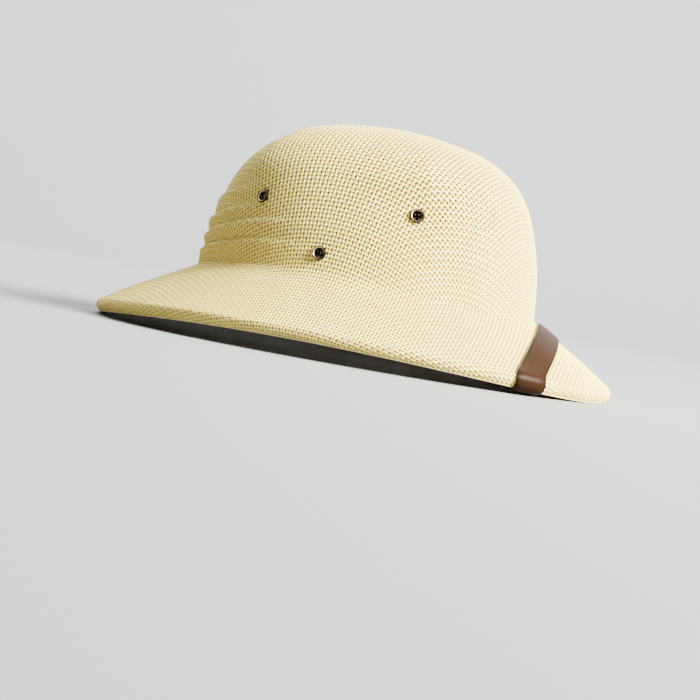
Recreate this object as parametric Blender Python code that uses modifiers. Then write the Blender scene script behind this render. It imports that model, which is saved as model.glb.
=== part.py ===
"""Woven straw hat in the form of a sun helmet, with six vent eyelets and a leather chin strap.

The front of the hat points along -Y and the sides along X. The hat rests on its own rim, on z = 0,
and the origin is under the middle of its length and width.
"""
import math

import bmesh
import bpy
import numpy as np
from mathutils import Matrix, Vector

MM = 0.001

# The crown, over the outside of the straw
CROWN_LENGTH = 217 * MM
CROWN_WIDTH = 188 * MM
HAT_HEIGHT = 145.5 * MM
FOOT_HEIGHT_ENDS = 40 * MM       # where the crown meets the brim, at the front and the back
FOOT_HEIGHT_SIDES = 50.5 * MM
STRAW_WALL = 2 * MM

# The brim, in plan from the crown's foot to the rim's outermost line
BILL_REACH = 54.5 * MM
BACK_REACH = 62.5 * MM
SIDE_REACH = 36 * MM
BRIM_SLOPE_ENDS = math.radians(32)    # how steeply the brim meets its rolled rim
BRIM_SLOPE_SIDES = math.radians(58)
RIM_ROLL_RADIUS = 4.8 * MM
RIM_ARCH = 10 * MM               # the rim rises this much from its ends to its sides
RIM_FLAT_ANGLE = math.radians(9)      # on each side of the front and back, the rim lies level
HEM_WIDTH = 3.5 * MM
PLAN_SQUARENESS = 2.05           # 2 is an ellipse
PROFILE_BLEND = 0.8              # how quickly, at the sides, the front's profile gives way to the back's

# The pleats pressed into the back of the crown
PLEAT_DEPTH = 1.5 * MM
PLEAT_LEDGE = 2.4 * MM           # height of the narrow face above each crest

# The soft ridges at the four corners of the crown's top, where the block's side panels end
RIDGE_SHARPNESS = 1.7            # above 1, a flank is steepest at the crest
RIDGE_FOOT = 0.46                # height share where it starts, and where it has its full height
RIDGE_FULL = 0.70
RIDGE_TOP = 0.99                 # where it has run out again

# The vent eyelets
EYELET_FLANGE = 8.8 * MM
EYELET_BORE = 6 * MM
EYELET_METAL = 0.45 * MM
EYELET_CROWN = 1.1 * MM          # how far the domed flange stands up
EYELET_LIP = 0.88 * MM           # height of the dome's edge at the bore
EYELET_SIDES = 16
VENT_DEPTH = 15 * MM             # length of the cutter, which passes through the straw and the strap

# The chin strap
STRAP_WIDTH = 17.9 * MM
STRAP_THICKNESS = 1.6 * MM
STRAP_FRONT = 11.6 * MM          # from the crown's foot to the strap's middle, in plan at the front
STRAP_SKEW = math.radians(13.5)  # it lies askew over the bill, with its right half further forward
STRAP_BEND = 420 * MM            # radius, in plan, of its right half, which bends back near the rim
STRAP_END = 14 * MM              # from the lower eyelet to the strap's cut end
STRAP_CLEAR = 0.9 * MM           # between the strap and the straw, whose facets it crosses

GAP = 0.3 * MM                   # between pieces that touch
MERGE = 0.05 * MM                # points nearer than this become one
COLUMNS = 48

# The crown's profile from the top to the foot. Height is a share of the rise from the foot to the
# top, the next three are shares of the half length in front and behind and of the half width.
CROWN_ROWS = [
    # height, front, back, side, squareness
    (1.000, 0.000, 0.000, 0.000, 2.30),
    (0.990, 0.190, 0.140, 0.170, 2.30),
    (0.965, 0.353, 0.313, 0.340, 2.35),
    (0.932, 0.497, 0.437, 0.470, 2.40),
    (0.897, 0.586, 0.517, 0.560, 2.45),
    (0.849, 0.671, 0.587, 0.645, 2.45),
    (0.773, 0.759, 0.685, 0.735, 2.45),
    (0.658, 0.840, 0.793, 0.820, 2.40),
    (0.525, 0.894, 0.867, 0.880, 2.35),
    (0.400, 0.932, 0.913, 0.920, 2.30),
    (0.270, 0.962, 0.950, 0.952, 2.25),
    (0.130, 0.980, 0.975, 0.974, 2.15),
    (0.040, 0.990, 0.988, 0.988, 2.10),
    (0.000, 1.000, 1.000, 1.000, PLAN_SQUARENESS),
]

# The brim's profile from the crown's foot to the rim's roll: the share of the way out in plan, and
# the share of the drop at the front and back and at the sides.
BRIM_ROWS = [
    # out, drop_ends, drop_sides
    (0.00, 0.000, 0.000),
    (0.10, 0.085, 0.150),
    (0.30, 0.270, 0.350),
    (0.50, 0.460, 0.545),
    (0.70, 0.660, 0.735),
    (0.85, 0.825, 0.870),
    (1.00, 1.000, 1.000),
]

# Each pleat's crest, as a share of the crown's rise, straight behind and at the side, the share of
# the full depth, and the angle from the back at which it has faded out.
PLEATS = [
    # crest_back, crest_side, depth, fades_at
    (0.081, 0.152, 1.00, math.radians(95)),
    (0.157, 0.291, 1.00, math.radians(90)),
    (0.258, 0.392, 0.95, math.radians(72)),
    (0.385, 0.537, 0.85, math.radians(64)),
]
PLEAT_FADE_START = 0.45          # share of that angle where the fading begins
PLEAT_VALLEY = 0.6               # a valley's depth as a share of its crest's height
PLEATS_RUN_OUT = 0.10            # share of the crown's rise over which the top valley levels out

# The corner ridges of each side: how far the crest stands out, its angle from the front, and how
# far on the ridge has run out, forwards and backwards
RIDGES = [
    # height, crest, run_out_forwards, run_out_backwards
    (6.0 * MM, math.radians(61), math.radians(44), math.radians(33)),
    (3.4 * MM, math.radians(127.5), math.radians(33), math.radians(30)),
]

# Heights, as shares of the crown's rise, of the mesh rows above the pleats
UPPER_ROWS = [0.990, 0.965, 0.932, 0.880, 0.810, 0.730]
ROLL_STEPS = 6

# Each side's eyelets: the angle round the crown from the front, and the height as a share of its rise
EYELETS = [
    # name, angle, height
    ("front", math.radians(64), 0.452),
    ("back", math.radians(116), 0.420),
    ("lower", math.radians(91), 0.112),
]

# The strap's stations over the bill, as shares of its way from the front to the rim
STRAP_STATIONS = [0.0, 0.12, 0.25, 0.38, 0.50, 0.62, 0.74, 0.86, 0.94]
STRAP_SIDES = (-1, 0, 1)         # its rear edge, its middle and its front edge
STRAP_UNDER_STEPS = 9
STRAP_SLACK = 8 * MM             # the hidden stretch bows in towards the head by this much
# The seated end's rows: how far in front of the lower eyelet, in STRAP_END, and the share of the width
STRAP_SEAT = [(1.0, 1.0), (0.5, 1.0), (0.0, 1.0), (-0.45, 1.0), (-0.8, 0.6)]


def middle_y():
    """The crown's middle lies this far off the hat's middle."""
    return (BILL_REACH - BACK_REACH) / 2


def roll_out(slope):
    """How far the rim's roll reaches out past the end of a brim of this slope."""
    return RIM_ROLL_RADIUS * (1 - math.sin(slope))


def collection(name):
    """A new collection in the scene."""
    made = bpy.data.collections.new(name)
    bpy.context.scene.collection.children.link(made)
    return made


def material(name, colour, roughness, metallic=0.0):
    """A plain Principled material."""
    made = bpy.data.materials.new(name)
    made.use_nodes = True
    shader = made.node_tree.nodes["Principled BSDF"]
    shader.inputs["Base Color"].default_value = (*colour, 1.0)
    shader.inputs["Roughness"].default_value = roughness
    shader.inputs["Metallic"].default_value = metallic
    return made


def table_at(rows, position):
    """A smooth curve (Catmull-Rom) through a table's rows, read at a position counted in rows."""
    rows = np.asarray(rows, float)
    last = len(rows) - 1
    start = min(max(int(position), 0), last - 1)
    f = position - start
    before = rows[max(start - 1, 0)]
    here = rows[start]
    there = rows[start + 1]
    after = rows[min(start + 2, last)]
    return 0.5 * (2 * here + (there - before) * f
                  + (2 * before - 5 * here + 4 * there - after) * f ** 2
                  + (3 * here - before - 3 * there + after) * f ** 3)


def signed_power(value, squareness):
    """The coordinate of a superellipse at this sine or cosine."""
    return math.copysign(abs(value) ** (2 / squareness), value)


def solve(rising, low, high):
    """The place between low and high where a rising function passes zero, by halving."""
    for _ in range(40):
        middle = (low + high) / 2
        if rising(middle) < 0:
            low = middle
        else:
            high = middle
    return (low + high) / 2


def sideways(angle):
    """0 at the front and back, 1 at the sides. Angles run from the front (-Y) towards +X."""
    return math.sin(angle) ** 2


def between(ends, sides, angle):
    """A size that passes from its value at the front and back to its value at the sides."""
    return ends + (sides - ends) * sideways(angle)


def foot_height(angle):
    """Height of the line where the crown meets the brim."""
    return between(FOOT_HEIGHT_ENDS, FOOT_HEIGHT_SIDES, angle)


def crown_row_at(height):
    """Position in the crown's table, counted in rows, of a height share."""
    return solve(lambda row: height - table_at(CROWN_ROWS, row)[0], 0, len(CROWN_ROWS) - 1)


def smooth_step(value):
    """0 below 0, 1 above 1, and a smooth rise between."""
    value = min(max(value, 0.0), 1.0)
    return value * value * (3 - 2 * value)


def pleat_crest(pleat, angle):
    """Height share of a pleat's crest at an angle."""
    return pleat[0] + (pleat[1] - pleat[0]) * sideways(angle)


def pleat_ledge():
    """Height of the ledge above a crest as a share of the crown's rise."""
    return PLEAT_LEDGE / (HAT_HEIGHT - FOOT_HEIGHT_ENDS)


def pleat_offset(height, angle):
    """How far the straw stands out of the plain crown at this height share: a saw-tooth."""
    from_back = math.pi - abs(math.remainder(angle, 2 * math.pi))
    heights = [0.0]
    offsets = [0.0]
    for pleat in PLEATS:
        start = pleat[3] * PLEAT_FADE_START
        depth = PLEAT_DEPTH * pleat[2] * smooth_step((pleat[3] - from_back) / (pleat[3] - start))
        crest = pleat_crest(pleat, angle)
        heights += [crest, crest + pleat_ledge()]
        offsets += [depth, -PLEAT_VALLEY * depth]
    heights.append(heights[-1] + PLEATS_RUN_OUT)
    offsets.append(0.0)
    return float(np.interp(height, heights, offsets))


def ridge_offset(height, angle):
    """How far the straw stands out of the plain crown on the corner ridges."""
    from_front = abs(math.remainder(angle, 2 * math.pi))
    offset = 0
    for ridge_height, crest, forwards, backwards in RIDGES:
        away = max((crest - from_front) / forwards, (from_front - crest) / backwards)
        offset += ridge_height * max(1 - away, 0) ** RIDGE_SHARPNESS
    rise = smooth_step((height - RIDGE_FOOT) / (RIDGE_FULL - RIDGE_FOOT))
    fall = smooth_step((RIDGE_TOP - height) / (RIDGE_TOP - RIDGE_FULL))
    return offset * rise * math.sqrt(fall)


def crown_point(height, angle):
    """A point on the crown's outside."""
    row = crown_row_at(height)
    _, front, back, side, squareness = table_at(CROWN_ROWS, row)
    backwards = smooth_step(0.5 - PROFILE_BLEND * math.cos(angle))
    length = front + (back - front) * backwards
    out = 1 + (pleat_offset(height, angle) + ridge_offset(height, angle)) / (CROWN_WIDTH / 2)
    x = CROWN_WIDTH / 2 * side * signed_power(math.sin(angle), squareness) * out
    y = -CROWN_LENGTH / 2 * length * signed_power(math.cos(angle), squareness) * out
    foot = foot_height(angle)
    return Vector((x, y + middle_y(), foot + (HAT_HEIGHT - foot) * height))


def end_reach(angle):
    """How far the brim reaches out along Y, in front or behind."""
    return BILL_REACH if math.cos(angle) > 0 else BACK_REACH


def rim_rise(angle):
    """Height of the rim's underside."""
    level = math.sin(RIM_FLAT_ANGLE) ** 2
    return RIM_ARCH * max(sideways(angle) - level, 0) / (1 - level)


def roll_slope(angle):
    """How steeply the brim runs into the rim's roll."""
    return between(BRIM_SLOPE_ENDS, BRIM_SLOPE_SIDES, angle)


def brim_point(row, angle):
    """A point on the brim's outside, its row counted in the brim's table."""
    out, drop_ends, drop_sides = table_at(BRIM_ROWS, row)
    half_width = CROWN_WIDTH / 2 + (SIDE_REACH - roll_out(BRIM_SLOPE_SIDES)) * out
    half_length = CROWN_LENGTH / 2 + (end_reach(angle) - roll_out(BRIM_SLOPE_ENDS)) * out
    x = half_width * signed_power(math.sin(angle), PLAN_SQUARENESS)
    y = -half_length * signed_power(math.cos(angle), PLAN_SQUARENESS)
    top = foot_height(angle)
    bottom = RIM_ROLL_RADIUS * (1 + math.cos(roll_slope(angle))) + rim_rise(angle)
    z = top + (bottom - top) * between(drop_ends, drop_sides, angle)
    return Vector((x, y + middle_y(), z))


def outward(angle):
    """The level direction square to the rim's plan."""
    across = math.sin(angle) / (CROWN_WIDTH / 2 + SIDE_REACH)
    along = -math.cos(angle) / (CROWN_LENGTH / 2 + end_reach(angle))
    return Vector((across, along, 0)).normalized()


def roll_point(turn, angle):
    """A point on the rolled rim: turn is 0 where the brim ends and 1 at its underside."""
    slope = roll_slope(angle)
    now = slope + (math.pi - slope) * turn
    start = brim_point(len(BRIM_ROWS) - 1, angle)
    out = RIM_ROLL_RADIUS * (math.sin(now) - math.sin(slope))
    up = RIM_ROLL_RADIUS * (math.cos(now) - math.cos(slope))
    return start + outward(angle) * out + Vector((0, 0, up))


def hem_point(angle):
    """The inner edge of the hem, turned in level under the rim."""
    return roll_point(1, angle) - outward(angle) * HEM_WIDTH


def front_brim_size(row):
    """The half width and half length, in plan, of the front brim at a row of its table."""
    out = table_at(BRIM_ROWS, row)[0]
    half_width = CROWN_WIDTH / 2 + (SIDE_REACH - roll_out(BRIM_SLOPE_SIDES)) * out
    half_length = CROWN_LENGTH / 2 + (BILL_REACH - roll_out(BRIM_SLOPE_ENDS)) * out
    return half_width, half_length


def within(row, x, y):
    """Above 0 where a plan position is nearer the crown than this row of the front brim."""
    half_width, half_length = front_brim_size(row)
    far = (abs(x) / half_width) ** PLAN_SQUARENESS
    return 1 - far - (abs(y - middle_y()) / half_length) ** PLAN_SQUARENESS


def brim_place(x, y):
    """The brim table's row and the angle of the brim point above a plan position."""
    row = solve(lambda row: within(row, x, y), 0, len(BRIM_ROWS) - 1)
    half_width, half_length = front_brim_size(row)
    power = PLAN_SQUARENESS / 2
    sine = (abs(x) / half_width) ** power
    cosine = (abs(y - middle_y()) / half_length) ** power
    return row, math.copysign(math.atan2(sine, cosine), x)


def slopes(point_at, first, second, step=0.002):
    """How a point on a surface moves with each of its two positions."""
    along = point_at(first + step, second) - point_at(first - step, second)
    round_ = point_at(first, second + step) - point_at(first, second - step)
    return along / (2 * step), round_ / (2 * step)


def surface_normal(point_at, first, second):
    """The outward normal of a surface whose first position runs from the top to the rim."""
    along, round_ = slopes(point_at, first, second)
    return along.cross(round_).normalized()


def crown_normal(height, angle):
    """The crown's outward normal: its first position climbs, so the sign turns."""
    return -surface_normal(crown_point, height, angle)


def mesh_object(name, mesh, home, finish, smooth_angle=40):
    """An object with a mesh, a material and smooth shading."""
    made = bpy.data.objects.new(name, mesh)
    made.data.materials.append(finish)
    home.objects.link(made)
    mesh.shade_smooth()
    mesh.set_sharp_from_angle(angle=math.radians(smooth_angle))
    return made


def lofted(name, rings, closed=True, tip=None):
    """A surface through rings of points. A closed ring joins its ends, and a tip closes the top."""
    mesh = bmesh.new()
    rows = [[mesh.verts.new(point) for point in ring] for ring in rings]
    count = len(rows[0])
    spans = count if closed else count - 1
    for upper, lower in zip(rows, rows[1:]):
        for start in range(spans):
            end = (start + 1) % count
            mesh.faces.new((upper[start], lower[start], lower[end], upper[end]))
    if tip is not None:
        top = mesh.verts.new(tip)
        for start in range(spans):
            mesh.faces.new((top, rows[0][start], rows[0][(start + 1) % count]))
    made = bpy.data.meshes.new(name)
    mesh.to_mesh(made)
    mesh.free()
    return made


def pleat_row_heights():
    """Functions of the angle that give the height share of each mesh row from the pleats down."""
    ledge = pleat_ledge()
    heights = [lambda angle: pleat_crest(PLEATS[-1], angle) + ledge + PLEATS_RUN_OUT]
    for pleat in reversed(PLEATS):
        heights.append(lambda angle, pleat=pleat: pleat_crest(pleat, angle) + ledge)
        heights.append(lambda angle, pleat=pleat: pleat_crest(pleat, angle))
    return heights


def make_shell(home, straw):
    """The crown, the brim and the rolled rim: one sheet of straw, thickened inwards."""
    angles = [2 * math.pi * column / COLUMNS for column in range(COLUMNS)]
    rings = [[crown_point(height, angle) for angle in angles] for height in UPPER_ROWS]
    for height_at in pleat_row_heights():
        rings.append([crown_point(height_at(angle), angle) for angle in angles])
    for row in range(len(BRIM_ROWS)):
        rings.append([brim_point(row, angle) for angle in angles])
    for step in range(1, ROLL_STEPS + 1):
        rings.append([roll_point(step / ROLL_STEPS, angle) for angle in angles])
    rings.append([hem_point(angle) for angle in angles])
    top = Vector((0, middle_y(), HAT_HEIGHT))
    shell = mesh_object("crown_and_brim", lofted("crown_and_brim", rings, tip=top), home, straw)
    wall = shell.modifiers.new("straw_wall", "SOLIDIFY")
    wall.thickness = STRAW_WALL
    wall.offset = -1
    wall.use_even_offset = True
    return shell


def eyelet_frame(angle, height):
    """The eyelet's place on the crown's outside, with its own Z pointing out of the hat."""
    normal = crown_normal(height, angle)
    turn = normal.to_track_quat("Z", "Y").to_matrix().to_4x4()
    return Matrix.Translation(crown_point(height, angle)) @ turn


def make_cutter(name, frame, home):
    """A round cutter for an eyelet's barrel, which reaches through the wall."""
    radius = EYELET_BORE / 2 + EYELET_METAL + GAP
    mesh = bmesh.new()
    bmesh.ops.create_cone(mesh, cap_ends=True, segments=EYELET_SIDES, radius1=radius, radius2=radius,
                          depth=VENT_DEPTH)
    data = bpy.data.meshes.new(name)
    mesh.to_mesh(data)
    mesh.free()
    cutter = bpy.data.objects.new(name, data)
    cutter.matrix_world = frame @ Matrix.Translation((0, 0, -STRAW_WALL / 2))
    cutter.hide_render = True
    cutter.display_type = "WIRE"
    home.objects.link(cutter)
    return cutter


def cut(piece, cutter):
    """Take a cutter's shape out of a piece."""
    hole = piece.modifiers.new(cutter.name, "BOOLEAN")
    hole.operation = "DIFFERENCE"
    hole.object = cutter


def make_eyelet(name, frame, grip, home, brass):
    """A turned eyelet: a domed flange outside, a barrel, and a flat flange inside.

    The grip is the thickness that it holds, from the straw's outside inwards.
    """
    bore = EYELET_BORE / 2
    barrel = bore + EYELET_METAL
    flange = EYELET_FLANGE / 2
    lift = GAP + EYELET_METAL / 2
    inside = -grip - lift
    profile = [
        (bore, EYELET_LIP),
        ((bore + flange) / 2, EYELET_CROWN + EYELET_METAL),
        (flange, lift + EYELET_METAL),
        (flange, lift),
        (barrel, lift),
        (barrel, inside),
        (flange - EYELET_METAL, inside),
        (flange - EYELET_METAL, inside - EYELET_METAL),
        (bore, inside - EYELET_METAL),
    ]
    mesh = bmesh.new()
    points = [mesh.verts.new((radius, 0, z)) for radius, z in profile]
    for start, end in zip(points, points[1:] + points[:1]):
        mesh.edges.new((start, end))
    data = bpy.data.meshes.new(name)
    mesh.to_mesh(data)
    mesh.free()
    eyelet = mesh_object(name, data, home, brass)
    eyelet.matrix_world = frame
    turned = eyelet.modifiers.new("turned", "SCREW")
    turned.steps = EYELET_SIDES
    turned.render_steps = EYELET_SIDES
    turned.use_merge_vertices = True
    turned.merge_threshold = MERGE
    turned.use_normal_calculate = True
    return eyelet


def strap_y(x, side):
    """Plan position of the strap's rear edge (side -1), middle (0) or front edge (1) at this x."""
    bill_slope = math.atan2(FOOT_HEIGHT_ENDS, BILL_REACH)
    across = side * STRAP_WIDTH / 2 * math.cos(bill_slope)
    middle = CROWN_LENGTH / 2 + STRAP_FRONT - middle_y()
    return math.tan(STRAP_SKEW) * x + min(x, 0) ** 2 / (2 * STRAP_BEND) - middle - across


def strap_place(share, side, hand):
    """The brim's row and angle under the strap, a share of the way to the left (1) or right (-1) rim."""
    rim = len(BRIM_ROWS) - 1
    reach = solve(lambda x: -within(rim, hand * x, strap_y(hand * x, side)), 0, CROWN_WIDTH)
    x = hand * reach * share
    return brim_place(x, strap_y(x, side))


def past_hem(angle, lift):
    """A point below the hem, a strap's thickness beyond its inner edge."""
    return hem_point(angle) - outward(angle) * STRAP_THICKNESS - Vector((0, 0, lift))


def lifted(point_at, first, second, lift):
    """A point at a height above a surface."""
    return point_at(first, second) + surface_normal(point_at, first, second) * lift


def strap_half(hand):
    """The strap's middle sheet from the front of the bill to its left (1) or right (-1) end."""
    lift = STRAP_CLEAR + STRAP_THICKNESS / 2
    rings = []
    for share in STRAP_STATIONS:
        places = [strap_place(share, side, hand) for side in STRAP_SIDES]
        rings.append([lifted(brim_point, row, angle, lift) for row, angle in places])
    rim_angles = [strap_place(1.0, side, hand)[1] for side in STRAP_SIDES]
    for step in range(1, ROLL_STEPS + 1):
        turn = step / ROLL_STEPS
        rings.append([lifted(roll_point, turn, angle, lift) for angle in rim_angles])
    rings.append([past_hem(angle, lift) for angle in rim_angles])
    return rings + strap_under_rings(rings[-1], hand)


def on_inner_wall(height, angle, move):
    """The strap's middle sheet on the crown's inner wall, a small move away from a place on the wall."""
    climb, round_ = slopes(crown_point, height, angle)
    up = move.dot(climb - round_ * climb.dot(round_) / round_.length_squared) / climb.length_squared
    turn = move.dot(round_) / round_.length_squared
    depth = STRAW_WALL + GAP * 2 + STRAP_THICKNESS / 2
    return crown_point(height + up, angle + turn) - crown_normal(height + up, angle + turn) * depth


def strap_under_rings(last, hand):
    """The hidden stretch: from under the rim to the crown's inner wall, where it lies flat."""
    _, angle, height = EYELETS[2]
    angle *= hand
    normal = crown_normal(height, angle)
    forward = last[1] - crown_point(height, angle)
    forward = (forward - normal * forward.dot(normal)).normalized()
    across = normal.cross(forward).normalized()
    if across.dot(last[2] - last[0]) < 0:
        across = -across
    seated = []
    for reach, width in STRAP_SEAT:
        ring = []
        for side in STRAP_SIDES:
            move = forward * STRAP_END * reach + across * STRAP_WIDTH / 2 * width * side
            ring.append(on_inner_wall(height, angle, move))
        seated.append(ring)
    rings = []
    for step in range(1, STRAP_UNDER_STEPS + 1):
        share = step / (STRAP_UNDER_STEPS + 1)
        slack = Vector((-4 * hand * STRAP_SLACK * share * (1 - share), 0, 0))
        rings.append([start.lerp(stop, share) + slack for start, stop in zip(last, seated[0])])
    return rings + seated


def make_strap(home, leather):
    """The chin strap: one sheet from its right end over the bill to its left end, thickened."""
    rings = strap_half(-1)[::-1] + strap_half(1)[1:]
    strap = mesh_object("chin_strap", lofted("chin_strap", rings, closed=False), home, leather)
    skin = strap.modifiers.new("leather", "SOLIDIFY")
    skin.thickness = STRAP_THICKNESS
    skin.offset = 0
    skin.use_even_offset = True
    return strap


def main():
    for old in list(bpy.data.objects):
        bpy.data.objects.remove(old)
    hat = collection("straw_hat")
    cutters = collection("cutters")
    straw = material("woven_straw", (0.86, 0.76, 0.50), 0.75)
    brass = material("dark_brass", (0.17, 0.12, 0.07), 0.35, metallic=1.0)
    leather = material("brown_leather", (0.19, 0.085, 0.045), 0.35)
    shell = make_shell(hat, straw)
    strap = make_strap(hat, leather)
    strap_grip = STRAW_WALL + GAP * 3 + STRAP_THICKNESS
    for side_name, side in (("left", 1), ("right", -1)):
        for name, angle, height in EYELETS:
            frame = eyelet_frame(side * angle, height)
            holds_strap = name == "lower"
            grip = strap_grip if holds_strap else STRAW_WALL
            cutter = make_cutter(f"vent_{name}_{side_name}", frame, cutters)
            cut(shell, cutter)
            if holds_strap:
                cut(strap, cutter)
            make_eyelet(f"vent_eyelet_{name}_{side_name}", frame, grip, hat, brass)


main()
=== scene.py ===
# %% [markdown]
# A woven straw hat in the form of a sun helmet. The solids of the hat are already made and packed. This
# lesson dresses them: it lays real straw yarns over the hat's form, turns brass eyelets, cuts a leather
# chin strap, gives each its finish, and sets up a pale floor, soft light and a camera.

# %% Load the solids
import math

import bpy
import numpy as np
from mathutils import Matrix, Vector


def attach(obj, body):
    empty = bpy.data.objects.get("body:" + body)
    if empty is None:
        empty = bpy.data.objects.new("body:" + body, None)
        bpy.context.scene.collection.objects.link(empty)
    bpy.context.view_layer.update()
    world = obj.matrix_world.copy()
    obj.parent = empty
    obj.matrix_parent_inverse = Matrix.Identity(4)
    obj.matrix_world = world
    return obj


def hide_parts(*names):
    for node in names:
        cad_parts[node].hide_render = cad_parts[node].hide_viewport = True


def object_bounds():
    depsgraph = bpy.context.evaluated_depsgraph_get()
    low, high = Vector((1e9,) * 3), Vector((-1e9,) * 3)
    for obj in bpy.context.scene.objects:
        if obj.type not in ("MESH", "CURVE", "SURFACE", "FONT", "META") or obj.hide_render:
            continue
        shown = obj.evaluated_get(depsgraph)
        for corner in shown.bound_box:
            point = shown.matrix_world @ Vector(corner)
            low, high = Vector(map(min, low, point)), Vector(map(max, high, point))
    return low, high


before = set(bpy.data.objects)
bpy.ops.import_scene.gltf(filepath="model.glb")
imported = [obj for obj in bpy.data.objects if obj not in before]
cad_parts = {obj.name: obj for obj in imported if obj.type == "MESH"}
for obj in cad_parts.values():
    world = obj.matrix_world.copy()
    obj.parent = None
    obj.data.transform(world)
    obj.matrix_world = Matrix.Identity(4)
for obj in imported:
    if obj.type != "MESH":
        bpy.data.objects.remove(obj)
CAD_BOX = [list(corner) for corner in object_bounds()]
print("solids:", sorted(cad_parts))
print("box of the solids, mm:", [[round(value * 1000, 1) for value in corner] for corner in CAD_BOX])

# %% [markdown]
# **The hat's form.** The block that a straw hat is pressed on has a smooth form, which short tables of
# shares describe well: how far out the crown stands at each height in front, behind and at the sides, and
# how the brim drops. The solids were made from the same sizes. They could be read back from the solids'
# mesh, but that mesh has flat facets, and yarns laid on it would show them. So the form is worked out
# again here, and finer. Two kinds of relief are added to the smooth block: pleats pressed round the back
# of the crown, and a soft ridge at each of the four corners of its top.

# %% Sizes of the hat
MM = 0.001
CROWN_LENGTH = 217 * MM
CROWN_WIDTH = 188 * MM
HAT_HEIGHT = 145.5 * MM
FOOT_HEIGHT_ENDS = 40 * MM       # where the crown meets the brim, at the front and the back
FOOT_HEIGHT_SIDES = 50.5 * MM
STRAW_WALL = 2 * MM
BILL_REACH = 54.5 * MM
BACK_REACH = 62.5 * MM
SIDE_REACH = 36 * MM
BRIM_SLOPE_ENDS = math.radians(32)
BRIM_SLOPE_SIDES = math.radians(58)
RIM_ROLL_RADIUS = 4.8 * MM
RIM_ARCH = 10 * MM
RIM_FLAT_ANGLE = math.radians(9)
HEM_WIDTH = 3.5 * MM
PLAN_SQUARENESS = 2.05           # 2 is an ellipse
PROFILE_BLEND = 0.8              # how quickly the front's profile gives way to the back's
PLEAT_DEPTH = 1.5 * MM           # how far a crest stands out
PLEAT_LEDGE = 2.4 * MM           # from a crest up to the valley above it
PLEAT_FADE_START = 0.45          # share of its way round from the back that a pleat keeps its depth
PLEAT_VALLEY = 0.6               # a valley's depth, as a share of the crest's
PLEATS_RUN_OUT = 0.10            # height share over which the top valley runs out
RIDGES = [
    # height, crest, run_out_forwards, run_out_backwards: the angles go round from the front
    (6.0 * MM, math.radians(61), math.radians(44), math.radians(33)),
    (3.4 * MM, math.radians(127.5), math.radians(33), math.radians(30)),
]
RIDGE_SHARPNESS = 1.7            # over 1, a ridge has hollow sides and a keen crest
RIDGE_FOOT, RIDGE_FULL, RIDGE_TOP = 0.46, 0.70, 0.99    # height shares: it starts, stands full, ends
MIDDLE_Y = (BILL_REACH - BACK_REACH) / 2

CROWN_ROWS = np.array([
    # height, front, back, side, squareness
    (1.000, 0.000, 0.000, 0.000, 2.30),
    (0.990, 0.190, 0.140, 0.170, 2.30),
    (0.965, 0.353, 0.313, 0.340, 2.35),
    (0.932, 0.497, 0.437, 0.470, 2.40),
    (0.897, 0.586, 0.517, 0.560, 2.45),
    (0.849, 0.671, 0.587, 0.645, 2.45),
    (0.773, 0.759, 0.685, 0.735, 2.45),
    (0.658, 0.840, 0.793, 0.820, 2.40),
    (0.525, 0.894, 0.867, 0.880, 2.35),
    (0.400, 0.932, 0.913, 0.920, 2.30),
    (0.270, 0.962, 0.950, 0.952, 2.25),
    (0.130, 0.980, 0.975, 0.974, 2.15),
    (0.040, 0.990, 0.988, 0.988, 2.10),
    (0.000, 1.000, 1.000, 1.000, PLAN_SQUARENESS),
])
BRIM_ROWS = np.array([
    # out, drop_ends, drop_sides
    (0.00, 0.000, 0.000),
    (0.10, 0.085, 0.150),
    (0.30, 0.270, 0.350),
    (0.50, 0.460, 0.545),
    (0.70, 0.660, 0.735),
    (0.85, 0.825, 0.870),
    (1.00, 1.000, 1.000),
])
PLEATS = [
    # crest_back, crest_side, depth, fades_at
    (0.081, 0.152, 1.00, math.radians(95)),
    (0.157, 0.291, 1.00, math.radians(90)),
    (0.258, 0.392, 0.95, math.radians(72)),
    (0.385, 0.537, 0.85, math.radians(64)),
]

# %% The form as functions that take whole arrays
def curve_at(rows, position):
    """A smooth curve (Catmull-Rom) through a table's rows, read at positions counted in rows."""
    position = np.asarray(position, float)
    last = len(rows) - 1
    start = np.clip(position.astype(int), 0, last - 1)
    f = (position - start)[..., None]
    before = rows[np.maximum(start - 1, 0)]
    here = rows[start]
    there = rows[start + 1]
    after = rows[np.minimum(start + 2, last)]
    found = 0.5 * (2 * here + (there - before) * f
                   + (2 * before - 5 * here + 4 * there - after) * f ** 2
                   + (3 * here - before - 3 * there + after) * f ** 3)
    return np.moveaxis(found, -1, 0)


def signed_power(value, squareness):
    return np.sign(value) * np.abs(value) ** (2 / squareness)


def smooth_step(value):
    value = np.clip(value, 0, 1)
    return value * value * (3 - 2 * value)


def between(ends, sides, angle):
    """A size that passes from its value at the front and back to its value at the sides."""
    return ends + (sides - ends) * np.sin(angle) ** 2


def unit(vectors):
    return vectors / np.maximum(np.linalg.norm(vectors, axis=-1, keepdims=True), 1e-12)


def points(*axes):
    return np.stack(np.broadcast_arrays(*axes), axis=-1)


def from_front(angle):
    """How far round from the front an angle lies, on either side."""
    return np.abs(np.remainder(angle + np.pi, 2 * np.pi) - np.pi)


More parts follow.
